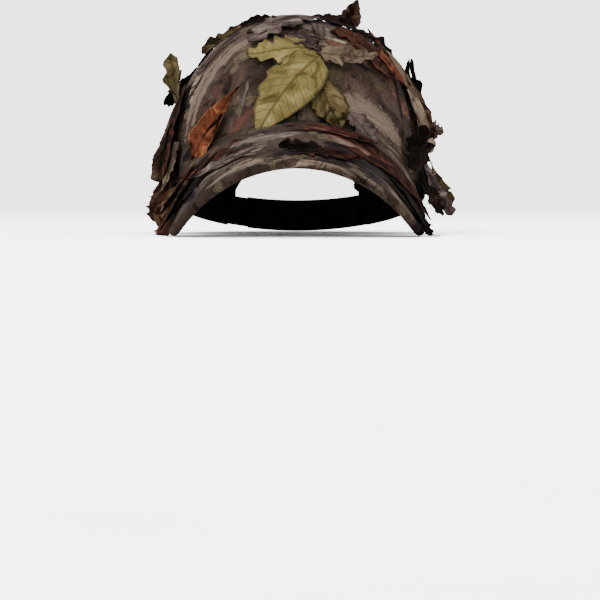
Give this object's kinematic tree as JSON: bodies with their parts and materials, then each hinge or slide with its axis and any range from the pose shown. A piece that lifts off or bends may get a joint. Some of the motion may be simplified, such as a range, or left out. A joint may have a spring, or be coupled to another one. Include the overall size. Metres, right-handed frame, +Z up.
{
  "type": "leafy camouflage cap",
  "caption": "Six-panel cloth cap with a curved visor, a hook-and-loop back strap and loose cut-cloth leaves sewn over a woodland print.",
  "frame": {"origin": "centre of the bounding box's floor rectangle, on the surface the cap stands on", "axes": "+Z up, the visor points along -Y, +X is the wearer's left; the cap stands on its visor's corners and its back strap"},
  "size_m": [0.1992, 0.271, 0.152],
  "materials": {
    "printed_cloth": "matt twill, woodland print",
    "buckram": "stiff open-weave, dull",
    "seam_tape": "matt twill tape",
    "sweatband_cloth": "soft brushed twill",
    "binding_cloth": "matt twill, cut on the bias",
    "button_cloth": "cloth over a domed shell",
    "washer_steel": "plain steel",
    "stitched_eyelet": "dense thread",
    "visor_board": "moulded sheet",
    "webbing": "woven nylon, dull sheen",
    "loop_nylon": "fuzzy loop pile",
    "hook_nylon": "stiff hook pile",
    "leaf_olive": "printed cloth, cut edges",
    "leaf_tan": "printed cloth, cut edges",
    "leaf_rust": "printed cloth, cut edges",
    "leaf_bark": "printed cloth, cut edges",
    "leaf_dark": "printed cloth, cut edges"
  },
  "bodies": {
    "cap": {"crown_panel_front_left": "printed_cloth", "crown_panel_front_right": "printed_cloth", "crown_panel_side_left": "printed_cloth", "crown_panel_side_right": "printed_cloth", "crown_panel_rear_left": "printed_cloth", "crown_panel_rear_right": "printed_cloth", "buckram_front_left": "buckram", "buckram_front_right": "buckram", "seam_tape_front": "seam_tape", "seam_tape_front_left": "seam_tape", "seam_tape_front_right": "seam_tape", "seam_tape_rear_left": "seam_tape", "seam_tape_rear_right": "seam_tape", "seam_tape_rear": "seam_tape", "sweatband": "sweatband_cloth", "rear_opening_binding": "binding_cloth", "button": "button_cloth", "button_washer": "washer_steel", "eyelets": "stitched_eyelet", "visor_board": "visor_board", "visor_top_cover": "printed_cloth", "visor_under_cover": "printed_cloth", "visor_edge_binding": "binding_cloth", "strap_loop_side": "webbing", "loop_pad": "loop_nylon", "strap_hook_anchor": "webbing", "leaf_front_olive": "leaf_olive", "leaf_front_olive_upper": "leaf_olive", "leaf_front_olive_lower": "leaf_olive", "leaf_front_pale": "leaf_tan", "leaf_front_rust": "leaf_rust", "leaf_top_grey": "leaf_bark", "leaf_shoulder_tan": "leaf_tan", "leaf_side_left_bark": "leaf_bark", "leaf_side_right_umber": "leaf_bark", "leaf_side_right_rust": "leaf_rust", "leaf_rear_left": "leaf_olive", "leaf_rear_right": "leaf_bark", "leaf_rear_middle": "leaf_olive", "leaf_left_dark": "leaf_dark", "leaf_left_olive_hanging": "leaf_olive", "leaf_left_grey_hanging": "leaf_bark", "leaf_top_left_tip": "leaf_dark", "leaf_top_dark": "leaf_dark", "leaf_top_right_dark": "leaf_dark", "leaf_shoulder_right": "leaf_olive", "leaf_right_hanging": "leaf_rust", "leaf_right_low": "leaf_dark", "leaf_rear_left_tip": "leaf_tan", "leaf_rear_right_tip": "leaf_rust", "leaf_rear_low_right": "leaf_olive", "leaf_rear_low_left": "leaf_bark", "leaf_visor_black": "leaf_dark", "leaf_visor_umber": "leaf_bark", "leaf_visor_left": "leaf_bark", "leaf_visor_right": "leaf_rust"},
    "strap": {"strap_hook_tail": "webbing", "hook_pad": "hook_nylon"}
  },
  "joints": [
    {"name": "strap_peel", "type": "hinge", "parent": "cap", "child": "strap", "pos_m": [-0.052, 0.11094, 0.01597], "axis": [0, 0.2419, 0.9703], "range_deg": [0, 80]}
  ]
}
